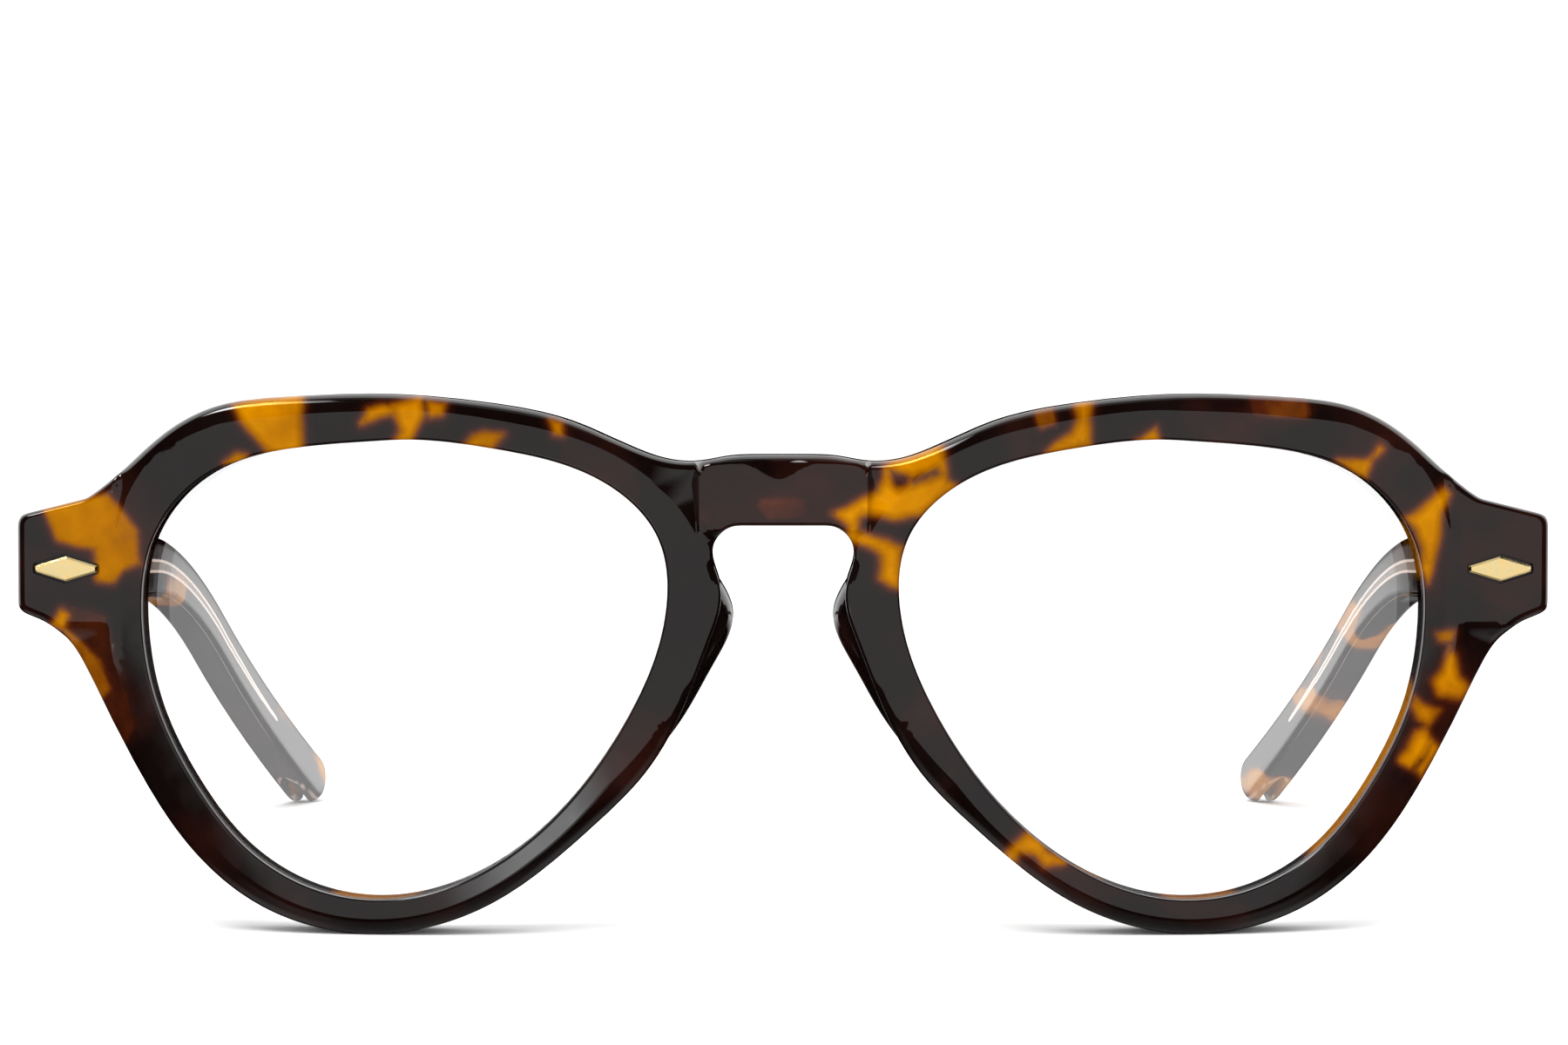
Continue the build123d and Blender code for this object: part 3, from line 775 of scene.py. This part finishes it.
def make_temple(side):
    """A temple: a strip seen from the side, with rounded edges and a scoop under the tip."""
    sign = SIDES[side]
    node = f"{side}_temple"
    outer_face = boundary_loops(node, (sign, 0, 0))[0]
    inner_x = depth_of(boundary_loops(node, (-sign, 0, 0))[0])
    outer_x = depth_of(outer_face)
    outline = evenly(outer_face[:, [1, 2]], TEMPLE_STEP, TEMPLE_SOFTENED)
    to_outer = distance_to([outline])
    front_end = outline[:, 0].min()
    creases = [outline - outward(outline) * inset for inset in insets(TEMPLE_EDGE)]
    creases += [leaf_pocket(side, front_end + LEAF_LINE_START, margin) for margin in (0, WALL_WIDTH)]
    pocket = leaf_pocket(side, front_end - 1, WALL_WIDTH / 2)
    low, high = box_mm(node)
    tip = np.array((high[1], low[2]))

    def inner_face(points):
        fall = edge_round(to_outer(points), TEMPLE_EDGE)
        fall = np.maximum(fall, LEAF_POCKET_DEPTH * inside(points, pocket))
        return inner_x(points[:, 0]) + sign * fall

    def outer_side(points):
        return outer_x(points[:, 0]) - sign * edge_round(to_outer(points), TEMPLE_EDGE)

    wall = [(share, scoop_outset(share, tip)) for share in np.linspace(0.05, 0.95, 15)]
    temple = slab(f"temple_{side}", outline, [], creases, TEMPLE_SPACING, inner_face, outer_side,
                  seen_from_side, wall)
    at = places_of(temple)
    through = np.abs(at[:, 0] - inner_x(at[:, 1]))
    share = through / np.abs(outer_x(at[:, 1]) - inner_x(at[:, 1]))
    paint_rim_highlight(temple, at, share, tip)
    paint(temple, "amber", patch_field(at[:, [1, 2]] + through[:, None] * ARM_LEAN, TEMPLE_PATCHES[side]))
    paint_wire(temple, side, inner_x)
    return temple


def paint_rim_highlight(temple, at, share, tip):
    """Store how near each point of the underside is to the scoop's rim, for the painted highlight there."""
    bowl = scoop_bowl(share, at[:, [1, 2]], tip)
    under = at[:, 2] < tip[1] + UNDERSIDE_RISE * (tip[0] - at[:, 1]) + UNDERSIDE_REACH
    paint(temple, "rim_highlight", np.clip(1 - np.abs(bowl - RIM_LEVEL) / RIM_SPREAD, 0, 1) * under)


def wire_middle(side):
    """The core wire's centre line in y and z, from the hinge to its end."""
    loop = evenly(boundary_loops(f"{side}_core_wire", (-SIDES[side], 0, 0))[0][:, [1, 2]], WIRE_STEP)
    ends = loop[:, 0].min() + 1, loop[:, 0].max() - 1
    middle = []
    for y in np.linspace(*ends, WIRE_POINTS):
        heights = loop[np.abs(loop[:, 0] - y) < 2 * WIRE_STEP, 1]
        middle.append((y, (heights.min() + heights.max()) / 2))
    return np.array(middle)


def paint_wire(temple, side, inner_x):
    """Store each inner-face point's distance from the wire's middle, and the wire's half height there."""
    at = places_of(temple)
    middle = wire_middle(side)
    tree = KDTree(len(middle))
    for index, (y, z) in enumerate(middle):
        tree.insert((y, z, 0), index)
    tree.balance()
    across = np.full(len(at), FAR_AWAY)
    half = np.zeros(len(at))
    on_inner_face = SIDES[side] * (at[:, 0] - inner_x(at[:, 1])) < INNER_FACE_REACH
    for i in np.nonzero(on_inner_face)[0]:
        _, index, _ = tree.find((at[i, 1], at[i, 2], 0))
        index = min(max(index, 1), len(middle) - 1)
        along = middle[index] - middle[index - 1]
        along /= np.linalg.norm(along)
        to_point = at[i, [1, 2]] - middle[index]
        past_end = along @ to_point
        across[i] = along[0] * to_point[1] - along[1] * to_point[0]
        half[i] = WIRE_HALF_HEIGHT * (1 - index / len(middle)) ** WIRE_TAPER
        half[i] -= max(past_end - WIRE_END_ROUND, 0)
    paint(temple, "wire_across", across)
    paint(temple, "wire_half", half)


# ---- plaques

PLAQUE_PROUD = 0.15
PLAQUE_THICKNESS = 0.6
PLAQUE_BEVEL = 0.18
PLAQUE_SLOPE = 1.0
PLAQUE_POINTS = 0.08
PLAQUE_SPACING = 0.25
PLAQUE_SHARP = 18


def make_plaque(side):
    """A gold lozenge with a bevelled rim, let into the end piece."""
    node = f"{side}_front_plaque"
    outer = evenly(front_loops(node, (0, -1, 0))[0], PLAQUE_POINTS)
    to_outer = distance_to([outer])
    creases = [outer - outward(outer) * PLAQUE_BEVEL]

    def face(points):
        fall = np.clip(PLAQUE_BEVEL - to_outer(points), 0, None) * PLAQUE_SLOPE
        return end_piece_face(points[:, 0]) - PLAQUE_PROUD + fall

    def back(points):
        return end_piece_face(points[:, 0]) - PLAQUE_PROUD + PLAQUE_THICKNESS

    return slab(f"plaque_{side}", outer, [], creases, PLAQUE_SPACING, face, back, seen_from_front, [],
                sharp=PLAQUE_SHARP)


# ---- materials

class Shading:
    """The node tree of a material or world, with short ways to add the nodes used here."""

    def __init__(self, owner):
        owner.use_nodes = True
        self.material = owner
        self.tree = owner.node_tree
        self.shader = self.tree.nodes.get("Principled BSDF")

    def node(self, kind, **settings):
        made = self.tree.nodes.new(kind)
        for name, value in settings.items():
            setattr(made, name, value)
        return made

    def feed(self, socket, value):
        if isinstance(value, bpy.types.NodeSocket):
            self.tree.links.new(value, socket)
        else:
            socket.default_value = value

    def math(self, operation, *values):
        made = self.node("ShaderNodeMath", operation=operation)
        for socket, value in zip(made.inputs, values):
            self.feed(socket, value)
        return made.outputs[0]

    def product(self, *values):
        result = values[0]
        for value in values[1:]:
            result = self.math("MULTIPLY", result, value)
        return result

    def noise(self, scale, detail=3.0, rough=0.5, stretch=None):
        coords = self.node("ShaderNodeTexCoord").outputs["Object"]
        if stretch:
            mapping = self.node("ShaderNodeMapping")
            mapping.inputs["Scale"].default_value = stretch
            self.feed(mapping.inputs["Vector"], coords)
            coords = mapping.outputs[0]
        made = self.node("ShaderNodeTexNoise")
        made.inputs["Scale"].default_value = scale
        made.inputs["Detail"].default_value = detail
        made.inputs["Roughness"].default_value = rough
        self.feed(made.inputs["Vector"], coords)
        return made.outputs["Fac"]

    def ramp(self, value, stops, interpolation="LINEAR"):
        made = self.node("ShaderNodeValToRGB")
        band = made.color_ramp
        band.interpolation = interpolation
        while len(band.elements) < len(stops):
            band.elements.new(0.5)
        for element, (position, colour) in zip(band.elements, stops):
            element.position = position
            element.color = (*colour, 1)
        self.feed(made.inputs["Fac"], value)
        return made.outputs["Color"]

    def spread(self, value, low, high, to_low=0.0, to_high=1.0):
        made = self.node("ShaderNodeMapRange")
        for socket, number in zip(made.inputs, (value, low, high, to_low, to_high)):
            self.feed(socket, number)
        return made.outputs[0]

    def bump(self, height, strength, distance):
        made = self.node("ShaderNodeBump")
        made.inputs["Strength"].default_value = strength
        made.inputs["Distance"].default_value = distance
        self.feed(made.inputs["Height"], height)
        self.feed(self.shader.inputs["Normal"], made.outputs[0])


# Colours from the dark acetate through red to amber, and what a highlight on amber is tinted with.
ACETATE_COLOURS = [
    (0.0, (0.0040, 0.0020, 0.0018)), (0.30, (0.0100, 0.0028, 0.0016)), (0.46, (0.042, 0.008, 0.002)),
    (0.58, (0.115, 0.031, 0.001)), (0.74, (0.25, 0.083, 0.0)), (1.0, (0.40, 0.150, 0.0)),
]
MOTTLE_COLOURS = [(0.35, (0.62, 0.55, 0.5)), (0.65, (1.0, 1.0, 1.0))]
GLEAM_COLOURS = [(0.5, (1, 1, 1)), (0.75, (1.0, 0.75, 0.12))]
# The colour of the painted highlight lines along the core wire's edges.
RED_GLOW = (0.014, 0.0024, 0.0012, 1)
WIRE_HIGHLIGHT_COLOUR = (0.80, 0.66, 0.58, 1)
# The colour of the painted highlight along the rim of the tip's scoop.
RIM_HIGHLIGHT_COLOUR = (0.72, 0.52, 0.44, 1)
ACETATE_IOR = 1.42


def acetate_material(name, stray=0.22, painted_highlights=False):
    """Polished tortoiseshell acetate: dark brown with amber patches that fade through red.

    stray is how far the patches' edges wander, in mm.
    """
    look = Shading(bpy.data.materials.new(name))
    look.shader.inputs["IOR"].default_value = ACETATE_IOR
    patch = look.node("ShaderNodeAttribute", attribute_name="amber").outputs["Fac"]
    wander = look.spread(look.noise(240, 3, 0.5), 0.3, 0.7, -0.7 * stray, 0.7 * stray)
    drift = look.spread(look.noise(90, 2), 0.3, 0.7, -stray, stray)
    field = look.math("ADD", look.math("ADD", patch, wander), drift)
    amount = look.spread(field, AMBER_START, AMBER_FULL)
    colour = look.ramp(amount, ACETATE_COLOURS)
    tint = look.ramp(look.noise(110, 4, 0.6), MOTTLE_COLOURS)
    mixed = look.node("ShaderNodeMix", data_type="RGBA", blend_type="MULTIPLY")
    mixed.inputs["Factor"].default_value = 1.0
    look.feed(mixed.inputs[6], colour)
    look.feed(mixed.inputs[7], tint)
    glow = look.spread(look.noise(75, 3), 0.5, 0.72)
    warm = look.node("ShaderNodeMix", data_type="RGBA", blend_type="ADD")
    look.feed(warm.inputs["Factor"], glow)
    look.feed(warm.inputs[6], mixed.outputs[2])
    warm.inputs[7].default_value = RED_GLOW
    base = warm.outputs[2]
    # The temples get painted highlights: the core wire's edges and the rim of the tip's scoop.
    if painted_highlights:
        base = with_rim_highlight(look, with_wire_highlights(look, base))
    look.feed(look.shader.inputs["Base Color"], base)
    look.feed(look.shader.inputs["Specular Tint"], look.ramp(amount, GLEAM_COLOURS))
    look.feed(look.shader.inputs["Roughness"], look.spread(look.noise(420, 2), 0.3, 0.7, 0.03, 0.07))
    look.bump(look.noise(55, 1), 0.06, 0.0004)
    return look.material


def with_wire_highlights(look, base):
    """Show the core wire through the acetate: its two edges as fine bright lines of painted highlight, with a
    painted grey sheen between them.
    """
    across = look.node("ShaderNodeAttribute", attribute_name="wire_across").outputs["Fac"]
    half = look.node("ShaderNodeAttribute", attribute_name="wire_half").outputs["Fac"]
    past_edge = look.math("SUBTRACT", look.math("ABSOLUTE", across), half)
    line = look.spread(look.math("ABSOLUTE", past_edge), 0.22, 0.08)
    sheen = look.math("MULTIPLY", look.spread(past_edge, 0.0, -0.1), 0.25)
    shows = look.math("MULTIPLY", look.math("MAXIMUM", line, sheen), look.spread(half, -0.15, 0.0))
    mixed = look.node("ShaderNodeMix", data_type="RGBA")
    look.feed(mixed.inputs["Factor"], shows)
    look.feed(mixed.inputs[6], base)
    mixed.inputs[7].default_value = WIRE_HIGHLIGHT_COLOUR
    return mixed.outputs[2]


def with_rim_highlight(look, base):
    """Paint a patchy light line along the rim of the tip's scoop: a painted highlight."""
    rim_shine = look.node("ShaderNodeAttribute", attribute_name="rim_highlight").outputs["Fac"]
    mixed = look.node("ShaderNodeMix", data_type="RGBA")
    patchy = look.spread(look.noise(200, 2), 0.3, 0.6, 0.4, 0.9)
    look.feed(mixed.inputs["Factor"], look.math("MULTIPLY", rim_shine, patchy))
    look.feed(mixed.inputs[6], base)
    mixed.inputs[7].default_value = RIM_HIGHLIGHT_COLOUR
    return mixed.outputs[2]


LENS_REFLECTS = 0.14
LENS_REFLECTS_MORE = 0.84


def lens_material():
    """Clear lens: the surface reflects a little, and more at a glancing angle."""
    look = Shading(bpy.data.materials.new("clear_lens"))
    nodes = look.tree.nodes
    clear = look.node("ShaderNodeBsdfTransparent")
    gloss = look.node("ShaderNodeBsdfGlossy")
    look.feed(gloss.inputs["Roughness"], look.spread(look.noise(60, 2), 0.3, 0.7, 0.0, 0.012))
    facing = look.node("ShaderNodeLayerWeight").outputs["Facing"]
    edge = look.math("POWER", facing, 5.0)
    share = look.math("MULTIPLY_ADD", edge, LENS_REFLECTS_MORE, LENS_REFLECTS)
    mixed = look.node("ShaderNodeMixShader")
    look.feed(mixed.inputs[0], share)
    look.feed(mixed.inputs[1], clear.outputs[0])
    look.feed(mixed.inputs[2], gloss.outputs[0])
    look.feed(nodes["Material Output"].inputs["Surface"], mixed.outputs[0])
    nodes.remove(look.shader)
    return look.material


def metal_material(name, dark, light, rough, brush=(1, 1, 1)):
    look = Shading(bpy.data.materials.new(name))
    look.shader.inputs["Metallic"].default_value = 1.0
    grain = look.noise(1500, 4, 0.6, brush)
    look.feed(look.shader.inputs["Base Color"], look.ramp(grain, [(0.3, dark), (0.7, light)]))
    look.feed(look.shader.inputs["Roughness"], look.spread(grain, 0.3, 0.7, rough * 0.8, rough * 1.2))
    look.bump(grain, 0.15, 0.00002)
    return look.material


# ---- the pieces, put together

def finish(piece, body, node, material):
    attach(piece, body)
    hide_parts(node)
    piece.data.materials.append(material)


def dress(node, material):
    """Give a carried-over CAD node its material."""
    for holder in frame["nodes"][node].material_slots:
        holder.material = material


def make_glasses():
    acetate = acetate_material("tortoise_acetate")
    arm_acetate = acetate_material("tortoise_acetate_arm", stray=0.8, painted_highlights=True)
    pad_acetate = acetate_material("pad_acetate")
    gold = metal_material("gold", (1.0, 0.72, 0.30), (1.0, 0.84, 0.45), 0.16)
    steel = metal_material("hinge_steel", (0.45, 0.44, 0.42), (0.72, 0.71, 0.69), 0.28, (1, 1, 8))
    dark_steel = metal_material("screw_steel", (0.38, 0.37, 0.36), (0.62, 0.61, 0.60), 0.22)
    core = metal_material("core_steel", (0.5, 0.49, 0.47), (0.7, 0.69, 0.67), 0.3, (1, 6, 1))
    glass = lens_material()
    finish(make_front(), "front", "front_frame", acetate)
    for side in SIDES:
        finish(make_pad(side), "front", f"{side}_nose_pad", pad_acetate)
        finish(make_temple(side), f"{side}_temple_arm", f"{side}_temple", arm_acetate)
        finish(make_plaque(side), "front", f"{side}_front_plaque", gold)
        dress(f"{side}_lens", glass)
        dress(f"{side}_front_hinge_leaf", steel)
        dress(f"{side}_temple_hinge_leaf", steel)
        dress(f"{side}_hinge_screw", dark_steel)
        dress(f"{side}_temple_rivets", steel)
        dress(f"{side}_core_wire", core)


# ---- floor, light and camera

FLOOR_HALF = 4.0
FLOOR_COLOURS = [(0.3, (0.93, 0.93, 0.93)), (0.7, (0.95, 0.95, 0.95))]


def make_floor():
    half = FLOOR_HALF
    corners = [(-half, -half, 0), (half, -half, 0), (half, half, 0), (-half, half, 0)]
    data = bpy.data.meshes.new("floor")
    data.from_pydata(corners, [], [(0, 1, 2, 3)])
    floor = bpy.data.objects.new("floor", data)
    bpy.context.scene.collection.objects.link(floor)
    look = Shading(bpy.data.materials.new("pale_floor"))
    look.feed(look.shader.inputs["Base Color"], look.ramp(look.noise(3), FLOOR_COLOURS))
    look.shader.inputs["Roughness"].default_value = 0.9
    look.shader.inputs["Specular IOR Level"].default_value = 0.0
    data.materials.append(look.material)
    floor.visible_glossy = False


# The studio is drawn over directions: x to the side, ahead towards the viewer, z up. Each pair below is
# where a light fades in or out. The panel's half width is a line in z, up to a most.
SURROUNDINGS = 1.3
PANEL_WIDENS = 1.9
PANEL_HALF_AT_EYE = 0.612
PANEL_HALF_MOST = 0.53
PANEL_EDGE = (0.0, 0.014)
PANEL_UP = (0.56, 0.50)
PANEL_AHEAD = (0.0, 0.1)
CEILING_UP = (0.92, 0.98)
CEILING_STRENGTH = 0.6
FLANK_ACROSS = (0.3, 0.6)
HIGH_UP = (0.2, 0.4)
BEHIND_STARTS = (0.02, 0.12)
BEHIND_ENDS = (0.985, 0.955)
BEHIND_UP = (-0.3, -0.1)
BEHIND_STRENGTHS = (0.8, 2.6)
BENEATH_DOWN = (-0.60, -0.90)
BENEATH_STRENGTHS = (0.3, 1.0)
STRIP_STRENGTH = 30.0
STRIP_UP = [(0.79, 0.83), (0.97, 0.94)]
STRIP_ACROSS = (-0.30, -0.42)
STRIP_AHEAD = [(0.06, 0.14), (0.58, 0.52)]
SHEEN_STRENGTH = 6.0
SHEEN_ACROSS = [(-0.115, -0.16), (-0.27, -0.20)]
SHEEN_UP = [(-0.078, -0.098), (-0.135, -0.115)]


def front_panel(look, x, z, ahead):
    """A broad panel in front, which narrows below eye level."""
    half = look.math("MULTIPLY_ADD", z, PANEL_WIDENS, PANEL_HALF_AT_EYE)
    half = look.math("MINIMUM", half, PANEL_HALF_MOST)
    between_sides = look.spread(look.math("SUBTRACT", half, look.math("ABSOLUTE", x)), *PANEL_EDGE)
    return look.product(between_sides, look.spread(z, *PANEL_UP), look.spread(ahead, *PANEL_AHEAD))


def light_behind(look, y, z, flank):
    """A dim wall behind, brighter at the sides and above."""
    brighter = look.math("MAXIMUM", flank, look.spread(z, *HIGH_UP))
    strength = look.spread(brighter, 0.0, 1.0, *BEHIND_STRENGTHS)
    return look.product(look.spread(y, *BEHIND_STARTS), look.spread(z, *BEHIND_UP), strength,
                        look.spread(y, *BEHIND_ENDS))


def light_beneath(look, z, flank):
    return look.product(look.spread(z, *BENEATH_DOWN), look.spread(flank, 0.0, 1.0, *BENEATH_STRENGTHS))


def strip_light(look, x, z, ahead):
    """A narrow bright strip high on one side, for the line along the brow."""
    fades = [look.spread(z, *fade) for fade in STRIP_UP] + [look.spread(ahead, *fade) for fade in STRIP_AHEAD]
    return look.product(look.spread(x, *STRIP_ACROSS), *fades, STRIP_STRENGTH)


def sheen_light(look, x, z, panel):
    """A brighter part of the panel, for the soft highlight low on one rim."""
    fades = [look.spread(x, *fade) for fade in SHEEN_ACROSS] + [look.spread(z, *fade) for fade in SHEEN_UP]
    return look.product(panel, *fades, SHEEN_STRENGTH)


def make_studio():
    """White surroundings for the camera and for diffuse light, and lights that only gloss reflects."""
    world = bpy.data.worlds.new("studio")
    bpy.context.scene.world = world
    look = Shading(world)
    way = look.node("ShaderNodeSeparateXYZ")
    look.feed(way.inputs[0], look.node("ShaderNodeTexCoord").outputs["Generated"])
    x, y, z = way.outputs
    ahead = look.math("MULTIPLY", y, -1.0)
    flank = look.spread(look.math("ABSOLUTE", x), *FLANK_ACROSS)
    panel = front_panel(look, x, z, ahead)
    ceiling = look.product(look.spread(z, *CEILING_UP), CEILING_STRENGTH)
    gloss = look.math("MAXIMUM", panel, ceiling)
    others = [light_behind(look, y, z, flank), light_beneath(look, z, flank), strip_light(look, x, z, ahead),
              sheen_light(look, x, z, panel)]
    for light in others:
        gloss = look.math("MAXIMUM", gloss, light)
    strength = look.node("ShaderNodeMix", data_type="FLOAT")
    look.feed(strength.inputs[0], look.node("ShaderNodeLightPath").outputs["Is Glossy Ray"])
    strength.inputs[2].default_value = SURROUNDINGS
    look.feed(strength.inputs[3], gloss)
    background = look.tree.nodes["Background"]
    look.feed(background.inputs["Strength"], strength.outputs[0])
    background.inputs["Color"].default_value = (1, 1, 1, 1)


def make_key_light():
    """A soft lamp above and in front, which gives the faint shadows on the floor."""
    data = bpy.data.lights.new("key", "AREA")
    data.energy = 10.0
    data.size = 0.8
    light = bpy.data.objects.new("key", data)
    light.location = (-0.15, -0.45, 0.9)
    light.rotation_euler = (math.radians(26), 0, math.radians(-18))
    light.visible_glossy = False
    bpy.context.scene.collection.objects.link(light)


CAMERA_DISTANCE = 450.0
CAMERA_HEIGHT = 56.42
CAMERA_TILT = 2.126
CAMERA_TURN = 0.0105
CAMERA_LENS = 108.8
CAMERA_SENSOR = 36


def make_camera():
    """A long lens in front of the bridge, tilted a little down."""
    data = bpy.data.cameras.new("camera")
    data.lens = CAMERA_LENS
    data.sensor_width = CAMERA_SENSOR
    camera = bpy.data.objects.new("camera", data)
    camera.location = (0, (FACE_Y - CAMERA_DISTANCE) * MM, CAMERA_HEIGHT * MM)
    camera.rotation_euler = (math.radians(90 - CAMERA_TILT), 0, math.radians(-CAMERA_TURN))
    bpy.context.scene.collection.objects.link(camera)
    bpy.context.scene.camera = camera


make_glasses()
make_floor()
make_studio()
make_key_light()
make_camera()
bpy.context.scene.view_settings.view_transform = "Standard"
